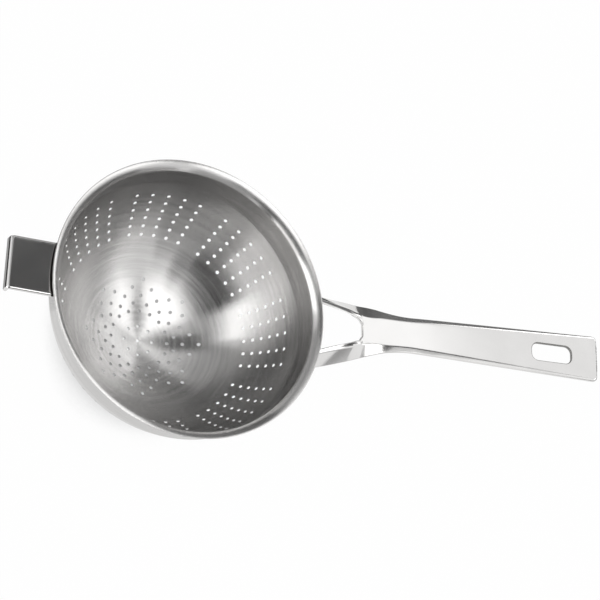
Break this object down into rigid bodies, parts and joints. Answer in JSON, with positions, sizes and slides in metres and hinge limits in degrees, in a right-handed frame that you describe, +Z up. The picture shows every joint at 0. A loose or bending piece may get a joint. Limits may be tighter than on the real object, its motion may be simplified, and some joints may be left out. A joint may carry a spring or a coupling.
{
  "type": "colander",
  "caption": "Round-bottomed metal colander with a pouring lip, a perforated bowl, a long flat forked handle with a hang slot, and a hook opposite it that rests on a pot's rim.",
  "frame": {"origin": "under the middle of the object's box, at the height of the bowl's lowest point", "axes": "+Z up along the bowl's axis with the mouth on top, as it hangs on a pot; +X towards the handle's tip; +Y to the right of a person who holds the handle's end and looks at the bowl"},
  "size_m": [0.4652, 0.2116, 0.1006],
  "materials": {
    "bowl_steel": "satin, brushed in circles round the bowl's axis",
    "handle_steel": "polished stainless steel with softened edges",
    "hook_steel": "polished stainless steel",
    "weld_metal": "weld bead, cleaned and dull"
  },
  "bodies": {
    "root": {"bowl": "bowl_steel", "handle": "handle_steel", "hook": "hook_steel", "handle_weld_left": "weld_metal", "handle_weld_right": "weld_metal", "hook_weld": "weld_metal"}
  },
  "joints": []
}
